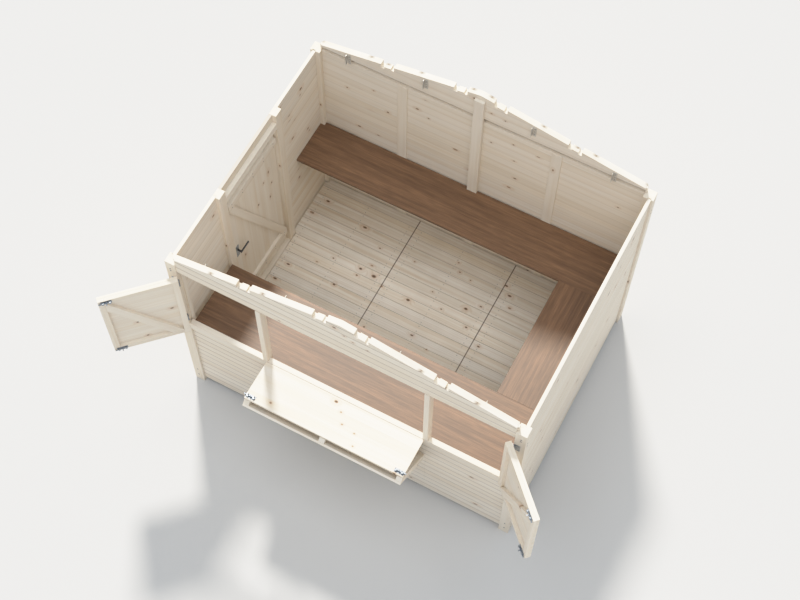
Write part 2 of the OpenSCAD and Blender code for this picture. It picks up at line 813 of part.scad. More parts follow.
front_corner_posts();
back_corner_posts();
front_inner_posts();
door_posts();
back_studs();
front_wall_left();
front_wall_middle();
front_wall_right();
front_sills();
front_gable();
back_gable();
back_wall();
left_wall_front();
left_wall_back();
door_lintel();
door_threshold();
right_wall();
floor_joists();
floor_left();
floor_middle();
floor_right();
worktop_back();
worktop_right();
worktop_front();
worktop_cleats();
worktop_gussets();
gable_brackets();
shutter_hinge_mounts();
flap_hinge_mounts();
door_hinge_mounts();
shutter_left_boards();
shutter_left_frame();
shutter_left_fittings();
shutter_right_boards();
shutter_right_frame();
shutter_right_fittings();
flap_boards();
flap_leaf_boards();
flap_leaf_frame();
flap_fittings();
door_boards();
door_ledges();
door_fittings();
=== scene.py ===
"""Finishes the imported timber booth: eased timbers, screws, worktops, steel, camera and soft light."""

import logging
import math
from dataclasses import dataclass
from enum import Enum

import bmesh
import bpy
from mathutils import Matrix, Vector

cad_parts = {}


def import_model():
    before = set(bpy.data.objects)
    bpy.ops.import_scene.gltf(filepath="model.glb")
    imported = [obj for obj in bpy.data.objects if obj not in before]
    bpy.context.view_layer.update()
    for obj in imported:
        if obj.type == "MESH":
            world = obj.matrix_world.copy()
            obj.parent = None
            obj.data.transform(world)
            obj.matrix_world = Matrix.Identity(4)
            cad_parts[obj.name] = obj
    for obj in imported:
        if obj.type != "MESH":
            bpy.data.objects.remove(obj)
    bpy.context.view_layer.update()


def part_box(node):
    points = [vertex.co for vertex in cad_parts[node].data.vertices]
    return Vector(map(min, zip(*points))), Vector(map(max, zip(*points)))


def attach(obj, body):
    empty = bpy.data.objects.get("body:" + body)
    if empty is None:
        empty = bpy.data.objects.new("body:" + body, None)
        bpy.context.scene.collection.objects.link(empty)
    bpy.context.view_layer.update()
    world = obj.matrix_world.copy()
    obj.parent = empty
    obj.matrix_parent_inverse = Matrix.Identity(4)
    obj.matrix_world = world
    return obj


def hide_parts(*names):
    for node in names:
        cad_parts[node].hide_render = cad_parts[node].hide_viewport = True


LOG = logging.getLogger("booth")
MM = 0.001
WELD = 0.01 * MM
FLAT_ANGLE = math.radians(0.5)
EASED_ANGLE = math.radians(50)
SMOOTH_ANGLE = math.radians(40)
# Steps of the wood pattern's luck: each seed's, how far boards are slid apart, and how far off no knot is
SEED_STEP = 7.31
LOG_LENGTH = 19.0
FAR_OFF = 9.0


def rgba(code: str) -> tuple[float, float, float, float]:
    """Turns an sRGB hex colour into a linear one.

    Args:
        code: Six hex digits.

    Returns:
        Red, green, blue and alpha, linear.
    """
    parts = [int(code[i:i + 2], 16) / 255 for i in (0, 2, 4)]
    red, green, blue = [p / 12.92 if p <= 0.04045 else ((p + 0.055) / 1.055) ** 2.4 for p in parts]
    return red, green, blue, 1.0


def add(tree: bpy.types.NodeTree, kind: str, inputs: dict | None = None,
        stops: tuple[tuple[float, float], ...] = (), **settings) -> bpy.types.Node:
    """Adds a node with its settings, values and links.

    Args:
        tree: The node tree that gets the node.
        kind: Blender's type name without the leading ShaderNode.
        inputs: A value, a socket or a node, which gives its first live output, for each input by name or number.
        stops: Position and grey value of each stop, where the node is a ramp.
        **settings: Properties of the node.

    Returns:
        The new node.
    """
    node = tree.nodes.new("ShaderNode" + kind)
    for name, value in settings.items():
        setattr(node, name, value)
    for key, value in (inputs or {}).items():
        if isinstance(value, bpy.types.Node):
            value = next(socket for socket in value.outputs if socket.enabled)
        if isinstance(value, bpy.types.NodeSocket):
            tree.links.new(value, node.inputs[key])
        else:
            node.inputs[key].default_value = value
    for number, (place, grey) in enumerate(stops):
        elements = node.color_ramp.elements
        element = elements[number] if number < len(elements) else elements.new(place)
        element.position = place
        element.color = (grey, grey, grey, 1.0)
    return node


def begin(name: str) -> tuple[bpy.types.Material, bpy.types.NodeTree, bpy.types.Node, bpy.types.NodeSocket]:
    """Starts a material.

    Args:
        name: The material's name.

    Returns:
        The material, its tree, its shader, and the point on the object that its patterns read.
    """
    made = bpy.data.materials.new(name)
    made.use_nodes = True
    tree = made.node_tree
    return made, tree, tree.nodes["Principled BSDF"], add(tree, "TexCoord").outputs["Object"]


class Run(Enum):
    """Direction of the grain and of the board joints: which object axis is along, across and through."""

    ALONG_X_UPRIGHT = ("X", "Z", "Y")
    ALONG_X_FLAT = ("X", "Y", "Z")
    ALONG_Y_UPRIGHT = ("Y", "Z", "X")
    ALONG_Y_FLAT = ("Y", "X", "Z")
    ALONG_Z_WIDE_X = ("Z", "X", "Y")
    ALONG_Z_WIDE_Y = ("Z", "Y", "X")


@dataclass(frozen=True)
class Lie:
    """How a point lies on its board: the sockets and nodes that the parts of the wood pattern share."""

    tree: bpy.types.NodeTree
    place: bpy.types.NodeSocket
    along: bpy.types.NodeSocket
    across: bpy.types.NodeSocket
    through: bpy.types.NodeSocket
    local: bpy.types.Node
    drawn: bpy.types.Node
    luck: list[bpy.types.NodeSocket]


@dataclass(frozen=True)
class SpruceFinish:
    """Planed spruce, untreated: pale cream with soft honey growth rings, few knots and a matt face.

    The spots are single knots, each by its place along and across the grain and its radius. The boards' joint lines,
    the dark gap plus painted shade of the V groove where they are drawn wide, are drawn in full only farther from the
    middle of the booth than `outer`, and faintly on the room's side.

    Pairs of counts are to the metre, along and across the grain: streaks are about 30 mm wide, bands 90 mm, and cells
    that may hold a knot 180 by 90 mm. Pores are drawn 1.4 mm wide, coarser than real ones, so that they show.
    """

    name: str
    run: Run
    pitch: float = 0.200
    start: float = 0.0
    turn: tuple[float, float, float] = (0.0, 0.0, 0.0)
    pale: str = "F4EBDD"
    honey: str = "DAC09A"
    halo: str = "C08A55"
    knot: str = "8E6238"
    core: str = "33261E"
    dust: str = "9C8C78"
    # Colour of the joint lines: the dark gap between boards, and painted shade of the V groove where the line is drawn
    # wide
    gap_and_groove_shade: str = "5A4636"
    panel_end: str = "4A3426"
    ring_gap: float = 7.0 * MM
    ring_part: float = 0.20
    streak_part: float = 0.22
    band_part: float = 0.22
    pore_part: float = 0.10
    streaks: tuple[float, float] = (1.0, 34.0)
    bands: tuple[float, float] = (0.7, 11.0)
    pores: tuple[float, float] = (14.0, 700.0)
    knot_cells: tuple[float, float] = (5.5, 11.0)
    wander: tuple[float, float] = (1.2, 4.0)
    wander_side: float = 30 * MM
    pith_side: float = 65 * MM
    pith_deep: tuple[float, float] = (12 * MM, 62 * MM)
    knot_push: float = 13 * MM
    knot_share: float = 0.05
    knot_radius: tuple[float, float] = (0.055, 0.130)
    knot_length: float = 1.43
    knot_dark: float = 0.72
    halo_dark: float = 0.35
    halo_reach: float = 3.57
    heart_dark: tuple[float, float] = (0.25, 0.85)
    loose_share: float = 0.6
    spots: tuple[tuple[float, float, float], ...] = ()
    soil: float = 0.0
    soil_count: float = 3.1
    joint: float = 0.0
    joint_side: float = 2.4 * MM
    outer: float = 0.0
    room_part: float = 0.15
    seams: tuple[float, ...] = ()
    seam_side: float = 6.0 * MM
    seam_core: float = 3.3 * MM
    seam_dark: float = 0.85
    tone_part: float = 0.05
    rough: tuple[float, float] = (0.66, 0.52)
    relief: float = 0.25 * MM
    seed: float = 1.0

    def material(self) -> bpy.types.Material:
        """Builds the wood: rings round a pith behind each board, streaks, knots, joint lines and fine pores.

        Returns:
            The material.
        """
        made, tree, shader, place = begin(self.name)
        lie = self.lie(tree, place)
        away, dead = self.knots(lie)
        swirl = add(tree, "MapRange", {"Value": away, "From Max": self.halo_reach, "To Min": 1.0, "To Max": 0.0})
        ring = self.rings(lie, swirl)
        streak, band, pore = [self.drawn_out(lie, counts, detail) for counts, detail in (
            (self.streaks, 3.0), (self.bands, 2.0), (self.pores, 2.0))]
        streak = add(tree, "MapRange", {"Value": streak, "From Min": 0.38, "From Max": 0.74})
        band = add(tree, "MapRange", {"Value": band, "From Min": 0.45, "From Max": 0.75})
        grain = 0.0
        for pattern, part in ((ring, self.ring_part), (streak, self.streak_part), (band, self.band_part),
                              (pore, self.pore_part)):
            grain = add(tree, "Math", {0: pattern, 1: part, 2: grain}, operation="MULTIPLY_ADD")

        # Each board is a little lighter or darker, and a little warmer or cooler, than the next
        light, warmth = self.tone_part / 2, 1.5 * self.tone_part
        wood = add(tree, "Mix", {0: grain, 6: rgba(self.pale), 7: rgba(self.honey)}, data_type="RGBA")
        tone = add(tree, "MapRange", {"Value": lie.luck[2], "To Min": 0.99 - light, "To Max": 0.99 + light})
        warm = add(tree, "MapRange", {"Value": lie.luck[0], "To Min": 0.92 - warmth, "To Max": 0.92 + warmth})
        last = add(tree, "HueSaturation", {"Color": wood, "Value": tone, "Saturation": warm})

        face = add(tree, "ValToRGB", {0: away}, ((0.0, 1.0), (0.55, 0.75), (0.86, 1.0), (1.0, 0.0)))
        heart = add(tree, "ValToRGB", {0: away}, ((0.0, 1.0), (0.5, 0.9), (0.8, 0.0)))
        heart = add(tree, "Math", {0: heart, 1: dead}, operation="MULTIPLY")
        layers = [(swirl, self.halo_dark, self.halo), (face, self.knot_dark, self.knot), (heart, 1.0, self.core)]
        for pattern, part, colour in layers + self.wear(lie):
            amount = add(tree, "Math", {0: pattern, 1: part}, operation="MULTIPLY")
            last = add(tree, "Mix", {0: amount, 6: last, 7: rgba(colour)}, data_type="RGBA")
        tree.links.new(last.outputs[2], shader.inputs["Base Color"])

        shader.inputs["IOR"].default_value = 1.45
        rough = add(tree, "MapRange", {"Value": grain, "To Min": self.rough[0], "To Max": self.rough[1]})
        tree.links.new(rough.outputs[0], shader.inputs["Roughness"])
        height = add(tree, "Math", {0: pore, 1: ring}, operation="ADD")
        bump = add(tree, "Bump", {"Height": height, "Strength": 0.25, "Distance": self.relief})
        tree.links.new(bump.outputs[0], shader.inputs["Normal"])
        return made

    def lie(self, tree: bpy.types.NodeTree, place: bpy.types.NodeSocket) -> Lie:
        """Works out how each point lies on its board, and draws the board's own luck.

        Args:
            tree: The material's tree.
            place: The point on the object.

        Returns:
            The shared nodes.
        """
        turned = add(tree, "Mapping", {"Vector": place, "Rotation": self.turn})
        axes = add(tree, "SeparateXYZ", {0: turned})
        along, across, through = [axes.outputs[axis] for axis in self.run.value]
        moved = add(tree, "Math", {0: across, 1: self.start}, operation="SUBTRACT")
        shifted = add(tree, "Math", {0: moved, 1: self.pitch}, operation="DIVIDE")
        board = add(tree, "Math", {0: shifted}, operation="FLOOR")
        part = add(tree, "Math", {0: shifted, 1: board}, operation="SUBTRACT")
        local = add(tree, "Math", {0: part, 1: self.pitch, 2: -self.pitch / 2}, operation="MULTIPLY_ADD")
        number = add(tree, "Math", {0: board, 1: self.seed * SEED_STEP}, operation="ADD")
        chance = add(tree, "TexWhiteNoise", {"W": number}, noise_dimensions="1D")
        luck = list(add(tree, "SeparateXYZ", {0: chance.outputs["Color"]}).outputs)
        slid = add(tree, "Math", {0: chance, 1: LOG_LENGTH, 2: along}, operation="MULTIPLY_ADD")
        drawn = add(tree, "CombineXYZ", {0: slid, 1: across, 2: through})
        return Lie(tree, place, along, across, through, local, drawn, luck)

    def drawn_out(self, lie: Lie, counts: tuple[float, float], detail: float) -> bpy.types.Node:
        """Makes a cloudy pattern that is drawn out along the grain.

        Args:
            lie: The shared nodes.
            counts: How many clouds to the metre, along and across.
            detail: How fine its edges are.

        Returns:
            The pattern.
        """
        lengthwise, sideways = counts
        at = add(lie.tree, "VectorMath", {0: lie.drawn, 1: (lengthwise, sideways, sideways)}, operation="MULTIPLY")
        return add(lie.tree, "TexNoise", {"Vector": at, "Scale": 1.0, "Detail": detail})

    def knots(self, lie: Lie) -> tuple[bpy.types.Node, bpy.types.Node]:
        """Strews knots: a few cells of a flat cell pattern hold one, and each spot is one more.

        Args:
            lie: The shared nodes.

        Returns:
            How far a point is from the nearest knot, in that knot's radii, and how dark the knot's heart is.
        """
        tree = lie.tree
        cells_at = add(tree, "VectorMath", {0: lie.drawn, 1: (*self.knot_cells, 0.0)}, operation="MULTIPLY")
        cells = add(tree, "TexVoronoi", {"Vector": cells_at, "Scale": 1.0, "Randomness": 0.7},
                    voronoi_dimensions="2D")
        cell = add(tree, "SeparateXYZ", {0: cells.outputs["Color"]}).outputs
        size = add(tree, "MapRange", {"Value": cell[1], "To Min": self.knot_radius[0], "To Max": self.knot_radius[1]})
        near = add(tree, "Math", {0: cells, 1: size}, operation="DIVIDE")
        empty = add(tree, "Math", {0: cell[0], 1: self.knot_share}, operation="GREATER_THAN")
        away = add(tree, "Math", {0: empty, 1: FAR_OFF, 2: near}, operation="MULTIPLY_ADD")
        flat = add(tree, "CombineXYZ", {0: lie.along, 1: lie.across})
        for at, up, radius in self.spots:
            length = radius * self.knot_length
            offset = add(tree, "VectorMath", {0: flat, 1: (1 / length, 1 / radius, 0.0),
                                              2: (-at / length, -up / radius, 0.0)}, operation="MULTIPLY_ADD")
            reach = add(tree, "VectorMath", {0: offset}, operation="LENGTH")
            away = add(tree, "Math", {0: away, 1: reach}, operation="MINIMUM")
        loose = add(tree, "Math", {0: cell[2], 1: self.loose_share}, operation="LESS_THAN")
        return away, add(tree, "MapRange", {"Value": loose, "To Min": self.heart_dark[0],
                                            "To Max": self.heart_dark[1]})

    def rings(self, lie: Lie, swirl: bpy.types.Node) -> bpy.types.Node:
        """Draws growth rings round a pith that lies behind each board, wandering along it and bent round knots.

        Args:
            lie: The shared nodes.
            swirl: How near a knot is.

        Returns:
            The ring pattern, light in spring wood and full in summer wood.
        """
        tree = lie.tree
        wander = self.drawn_out(lie, self.wander, 2.0)
        bend = add(tree, "MapRange", {"Value": wander, "To Min": -self.wander_side, "To Max": self.wander_side})
        offset = add(tree, "MapRange", {"Value": lie.luck[0], "To Min": self.pith_side, "To Max": -self.pith_side})
        behind = add(tree, "MapRange", {"Value": lie.luck[1], "To Min": self.pith_deep[0],
                                        "To Max": self.pith_deep[1]})
        bent = add(tree, "Math", {0: lie.local, 1: bend}, operation="ADD")
        side = add(tree, "Math", {0: bent, 1: offset}, operation="ADD")
        deep = add(tree, "Math", {0: lie.through, 1: behind}, operation="ADD")
        centre = add(tree, "CombineXYZ", {0: side, 1: deep})
        radius = add(tree, "VectorMath", {0: centre}, operation="LENGTH")
        pushed = add(tree, "Math", {0: swirl, 1: self.knot_push, 2: radius}, operation="MULTIPLY_ADD")
        count = add(tree, "Math", {0: pushed, 1: self.ring_gap}, operation="DIVIDE")
        year = add(tree, "Math", {0: count}, operation="FRACT")
        return add(tree, "ValToRGB", {0: year}, ((0.0, 0.15), (0.5, 0.25), (0.85, 1.0), (1.0, 0.15)))

    def wear(self, lie: Lie) -> list[tuple[bpy.types.Node, float, str]]:
        """Lists what darkens the wood: trodden dust, the lines between boards with painted shade of their grooves, and
        the dusty ends of panels.

        Args:
            lie: The shared nodes.

        Returns:
            Pattern, strength and colour of each layer.
        """
        tree, layers = lie.tree, []
        if self.soil:
            cloud = add(tree, "TexNoise", {"Vector": lie.place, "Scale": self.soil_count, "Detail": 5.0,
                                           "Roughness": 0.62})
            dust = add(tree, "MapRange", {"Value": cloud, "From Min": 0.38, "From Max": 0.68})
            layers.append((dust, self.soil, self.dust))
        if self.joint:
            # The dark joint line is drawn wider than the real gap, so that it shows; where it is as wide as the V
            # groove it is painted shade of the groove
            off = add(tree, "Math", {0: lie.local}, operation="ABSOLUTE")
            line = add(tree, "MapRange", {"Value": off, "From Min": self.pitch / 2 - self.joint_side,
                                          "From Max": self.pitch / 2})
            if self.outer:
                depth = add(tree, "Math", {0: lie.through}, operation="ABSOLUTE")
                outside = add(tree, "Math", {0: depth, 1: self.outer}, operation="GREATER_THAN")
                share = add(tree, "MapRange", {"Value": outside, "To Min": self.room_part})
                line = add(tree, "Math", {0: line, 1: share}, operation="MULTIPLY")
            layers.append((line, self.joint, self.gap_and_groove_shade))
        for seam in self.seams:
            offset = add(tree, "Math", {0: lie.along, 1: seam}, operation="SUBTRACT")
            off = add(tree, "Math", {0: offset}, operation="ABSOLUTE")
            ends = add(tree, "MapRange", {"Value": off, "From Min": self.seam_core, "From Max": self.seam_side,
                                          "To Min": 1.0, "To Max": 0.0})
            layers.append((ends, self.seam_dark, self.panel_end))
        return layers


@dataclass(frozen=True)
class LaminateFinish:
    """Brown oak-look laminate board: long streaks of fine dark pores under a satin wear layer.

    Pairs of counts are to the metre, along and across: streaks are 24 mm wide, and pores 2.4 mm, coarser than real
    ones, so that they show.
    """

    name: str
    lengthways: bool
    dark: str = "533A27"
    mid: str = "856245"
    streaks: tuple[float, float] = (1.4, 42.0)
    pores: tuple[float, float] = (9.0, 420.0)
    cloud_count: float = 2.2
    tone: tuple[float, float] = (0.86, 1.12)
    rough: tuple[float, float] = (0.43, 0.49)
    gloss: float = 0.75
    relief: float = 0.3 * MM

    def material(self) -> bpy.types.Material:
        """Builds the laminate.

        Returns:
            The material.
        """
        made, tree, shader, place = begin(self.name)
        drawn = []
        for along, across in (self.streaks, self.pores):
            scale = (along, across, across) if self.lengthways else (across, along, across)
            drawn.append(add(tree, "Mapping", {"Vector": place, "Scale": scale}))
        streak = add(tree, "TexNoise", {"Vector": drawn[0], "Scale": 1.0, "Detail": 5.0, "Distortion": 0.6})
        pore = add(tree, "TexNoise", {"Vector": drawn[1], "Scale": 1.0, "Detail": 2.0})
        grain = add(tree, "Math", {0: streak, 1: pore}, operation="MULTIPLY")
        amount = add(tree, "MapRange", {"Value": grain, "From Min": 0.12, "From Max": 0.42})
        brown = add(tree, "Mix", {0: amount, 6: rgba(self.dark), 7: rgba(self.mid)}, data_type="RGBA")
        cloud = add(tree, "TexNoise", {"Vector": place, "Scale": self.cloud_count, "Detail": 4.0})
        value = add(tree, "MapRange", {"Value": cloud, "To Min": self.tone[0], "To Max": self.tone[1]})
        toned = add(tree, "HueSaturation", {"Color": brown, "Value": value})
        rough = add(tree, "MapRange", {"Value": cloud, "To Min": self.rough[0], "To Max": self.rough[1]})
        bump = add(tree, "Bump", {"Height": pore, "Strength": 0.12, "Distance": self.relief})
        shader.inputs["Specular IOR Level"].default_value = self.gloss
        for node, socket in ((toned, "Base Color"), (rough, "Roughness"), (bump, "Normal")):
            tree.links.new(node.outputs[0], shader.inputs[socket])
        return made


@dataclass(frozen=True)
class ZincFinish:
    """Zinc-plated pressed steel: cool blue-grey with cloudy spangle and softly blurred reflections.

    Counts are to the metre: spangle cells are about 6 mm wide and clouds 22 mm.
    """

    name: str
    colour: str = "B2BAC4"
    shade: str = "88929E"
    metal: float = 1.0
    spangle_count: float = 160.0
    cloud_count: float = 45.0
    rough: tuple[float, float] = (0.28, 0.48)
    relief: float = 0.2 * MM

    def material(self) -> bpy.types.Material:
        """Builds the plated steel.

        Returns:
            The material.
        """
        made, tree, shader, place = begin(self.name)
        spangle = add(tree, "TexVoronoi", {"Vector": place, "Scale": self.spangle_count})
        cloud = add(tree, "TexNoise", {"Vector": place, "Scale": self.cloud_count, "Detail": 4.0})
        both = add(tree, "Math", {0: spangle, 1: cloud}, operation="MULTIPLY")
        amount = add(tree, "MapRange", {"Value": both, "From Min": 0.10, "From Max": 0.42})
        steel = add(tree, "Mix", {0: amount, 6: rgba(self.colour), 7: rgba(self.shade)}, data_type="RGBA")
        rough = add(tree, "MapRange", {"Value": cloud, "To Min": self.rough[0], "To Max": self.rough[1]})
        bump = add(tree, "Bump", {"Height": cloud, "Strength": 0.1, "Distance": self.relief})
        shader.inputs["Metallic"].default_value = self.metal
        tree.links.new(steel.outputs[2], shader.inputs["Base Color"])
        tree.links.new(rough.outputs[0], shader.inputs["Roughness"])
        tree.links.new(bump.outputs[0], shader.inputs["Normal"])
        return made


def deselect() -> None:
    """Clears the selection, which the loaded frame leaves full."""
    bpy.ops.object.select_all(action="DESELECT")


def make_active(piece: bpy.types.Object) -> None:
    """Selects one object alone and makes it active.

    Args:
        piece: The object.
    """
    deselect()
    piece.select_set(True)
    bpy.context.view_layer.objects.active = piece


def settle(piece: bpy.types.Object) -> None:
    """Bakes an object's place, turn and scale into its mesh, so that it sits at the origin."""
    make_active(piece)
    bpy.ops.object.transform_apply(location=True, rotation=True, scale=True)


def soften(piece: bpy.types.Object) -> None:
    """Smooths the eased edges and keeps the wide faces flat, each corner's direction weighed by face area.

    Args:
        piece: The object, with its edges eased.
    """
    make_active(piece)
    bpy.ops.object.shade_smooth_by_angle(angle=SMOOTH_ANGLE)
    weigh = piece.modifiers.new("weighed directions", "WEIGHTED_NORMAL")
    weigh.keep_sharp = True
    bpy.ops.object.modifier_apply(modifier=weigh.name)


def dress(piece: bpy.types.Object, finish: bpy.types.Material, body: str) -> bpy.types.Object:
    """Gives a finished piece its material and body.

    Args:
        piece: The object, with its place in its mesh.
        finish: Its material.
        body: The body that it moves with.

    Returns:
        The same piece.
    """
    piece.data.materials.clear()
    piece.data.materials.append(finish)
    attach(piece, body)
    LOG.info("%s rides on %s", piece.name, body)
    return piece


def eased_copy(node: str, name: str, ease: float) -> bpy.types.Object:
    """Copies a node's solids as a new piece and eases their sharp edges, as a planer leaves them.

    Args:
        node: The frame's node.
        name: The new piece's name.
        ease: Width of the eased edge, in metres.

    Returns:
        The new piece, which stands for the node.
    """
    source = bpy.data.objects[node]
    mesh = source.data.copy()
    piece = bpy.data.objects.new(name, mesh)
    bpy.context.scene.collection.objects.link(piece)
    piece.matrix_world = source.matrix_world.copy()
    settle(piece)
    bpy.ops.object.mode_set(mode="EDIT")
    bpy.ops.mesh.select_all(action="SELECT")
    bpy.ops.mesh.remove_doubles(threshold=WELD)
    bpy.ops.mesh.dissolve_limited(angle_limit=FLAT_ANGLE)
    bpy.ops.object.mode_set(mode="OBJECT")
    bevel = piece.modifiers.new("eased edges", "BEVEL")
    bevel.width = ease
    bevel.segments = 2
    bevel.limit_method = "ANGLE"
    bevel.angle_limit = EASED_ANGLE
    bevel.use_clamp_overlap = True
    bpy.ops.object.modifier_apply(modifier=bevel.name)
    soften(piece)
    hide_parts(node)
    return piece


@dataclass
class Member:
    """One planed timber of a leaf, a stile, rail, ledge or brace, drawn in the closed leaf's own frame."""

    name: str
    low: tuple[float, float, float]
    high: tuple[float, float, float]
    lean: float = 0.0
    cuts: tuple[tuple[tuple[float, float, float], tuple[float, float, float]], ...] = ()
    ease: float = 1.6 * MM

    def build(self, place: Matrix) -> bpy.types.Object:
        """Models the timber: a block, leant, sawn off at its cuts and eased along its edges.

        Args:
            place: Where the leaf's frame lies.

        Returns:
            The timber, at the origin with its place in its mesh.
        """
        low, high = Vector(self.low), Vector(self.high)
        deselect()
        bpy.ops.mesh.primitive_cube_add(size=1, location=(low + high) / 2)
        piece = bpy.context.active_object
        piece.name = self.name
        piece.scale = high - low
        piece.rotation_euler = (0, -self.lean, 0)
        settle(piece)
        bpy.ops.object.mode_set(mode="EDIT")
        for point, outward in self.cuts:
            bpy.ops.mesh.select_all(action="SELECT")
            bpy.ops.mesh.bisect(plane_co=point, plane_no=outward, use_fill=True, clear_outer=True)
        bpy.ops.mesh.select_all(action="SELECT")
        bpy.ops.mesh.remove_doubles(threshold=WELD)
        bpy.ops.mesh.bevel(offset=self.ease, segments=2, affect="EDGES")
        bpy.ops.object.mode_set(mode="OBJECT")
        piece.matrix_world = place
        settle(piece)
        bpy.ops.object.mode_set(mode="EDIT")
        bpy.ops.mesh.select_all(action="SELECT")
        bpy.ops.mesh.normals_make_consistent(inside=False)
        bpy.ops.object.mode_set(mode="OBJECT")
        soften(piece)
        return piece


@dataclass
class Screws:
    """Countersunk screws with a round drive recess, one mesh for each group."""

    head_r: float = 4.8 * MM
    head_h: float = 1.6 * MM
    drive_r: float = 2.1 * MM
    drive_deep: float = 0.7
    rim: float = 0.5
    sides: int = 10

    def master(self) -> bpy.types.Object:
        """Models one head at the origin, its axis along Z, with a bevelled rim and a sunk drive.

        Returns:
            The head.
        """
        deselect()
        bpy.ops.mesh.primitive_cylinder_add(vertices=self.sides, radius=self.head_r, depth=self.head_h)
        head = bpy.context.active_object
        bpy.ops.object.mode_set(mode="EDIT")
        bpy.ops.mesh.select_all(action="DESELECT")
        bm = bmesh.from_edit_mesh(head.data)
        bm.select_mode = {"FACE"}
        for face in bm.faces:
            face.select = face.normal.z > 0.9
        bmesh.update_edit_mesh(head.data)
        bpy.ops.mesh.inset(thickness=self.head_r - self.drive_r)
        bpy.ops.mesh.extrude_region_move(TRANSFORM_OT_translate={"value": (0, 0, -self.drive_deep * self.head_h)})
        bpy.ops.mesh.select_all(action="DESELECT")
        bm = bmesh.from_edit_mesh(head.data)
        bm.select_mode = {"EDGE"}
        for edge in bm.edges:
            edge.select = all(v.co.z > 0 and v.co.xy.length > self.drive_r for v in edge.verts)
        bmesh.update_edit_mesh(head.data)
        bpy.ops.mesh.bevel(offset=self.rim * self.head_h, segments=1)
        bpy.ops.object.mode_set(mode="OBJECT")
        return head

    def group(self, name: str, places: list[tuple[Vector, Vector]]) -> bpy.types.Object:
        """Sets one head at each place and joins them.

        Args:
            name: The group's name.
            places: The point on the surface and its outward direction, for each screw.

        Returns:
            The joined heads, at the origin.
        """
        head = self.master()
        copies = []
        for point, outward in places:
            turn = outward.to_track_quat("Z", "Y").to_matrix().to_4x4()
            mesh = head.data.copy()
            mesh.transform(Matrix.Translation(point) @ turn)
            copy = bpy.data.objects.new(name, mesh)
            bpy.context.scene.collection.objects.link(copy)
            copies.append(copy)
        bpy.data.objects.remove(head)
        deselect()
        for copy in copies:
            copy.select_set(True)
        bpy.context.view_layer.objects.active = copies[0]
        bpy.ops.object.join()
        joined = bpy.context.active_object
        joined.name = name
        return joined


def screw_rows(place: Matrix, columns: tuple[float, ...], face: float, heights: tuple[float, ...], half: float,
               outward: int) -> list[tuple[Vector, Vector]]:
    """Finds pairs of screws, one over the other, along straps or ledges.

    Args:
        place: Where the leaf's frame lies.
        columns: Distances of the pairs from the hinge.
        face: Depth of the face that the heads sit on, in the leaf's frame.
        heights: Middle heights of the straps or ledges.
        half: Half the distance between the two screws of a pair.
        outward: One where the face looks along the leaf frame's Y axis, and minus one where it looks the other way.

    Returns:
        Point and outward direction of each screw.
    """
    way = place.to_3x3() @ Vector((0, outward, 0))
    return [(place @ Vector((x, face, z + up)), way) for z in heights for x in columns for up in (-half, half)]


@dataclass
class Posts:
    """Corner posts, inner posts, door posts and back studs, with the screws that hold the rails and gables."""

    ease: float = 2.5 * MM
    front_tops: tuple[float, float] = (0.085, 0.115)
    front_feet: tuple[float, float] = (0.195, 0.095)
    front_in: float = 40 * MM
    side_tops: tuple[float, float] = (0.20, 0.25)
    side_feet: tuple[float, float] = (0.115, 0.060)
    side_in: float = 45 * MM

    def build(self, screws: Screws, zinc: bpy.types.Material) -> None:
        """Eases the posts and sets the screws near their tops and feet.

        Args:
            screws: The screw maker.
            zinc: The screws' finish.
        """
        wood = SpruceFinish("spruce_posts", Run.ALONG_Z_WIDE_X, pitch=0.7, start=-0.35, seed=3.0).material()
        for node in ("front_corner_posts", "back_corner_posts", "front_inner_posts", "door_posts", "back_studs"):
            piece = eased_copy(node, "timber_" + node, self.ease)
            dress(piece, wood, "stall")
        low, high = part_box("front_corner_posts")
        places = []
        for side in (-1, 1):
            x = side * (high.x - self.front_in)
            for z in tuple(high.z - down for down in self.front_tops) + self.front_feet:
                places.append((Vector((x, low.y, z)), Vector((0, -1, 0))))
                places.append((Vector((x, -low.y, z)), Vector((0, 1, 0))))
            for z in tuple(high.z - down for down in self.side_tops) + self.side_feet:
                for y in (low.y + self.side_in, -low.y - self.side_in):
                    places.append((Vector((side * high.x, y, z)), Vector((side, 0, 0))))
        dress(screws.group("post_screws", places), zinc, "stall")


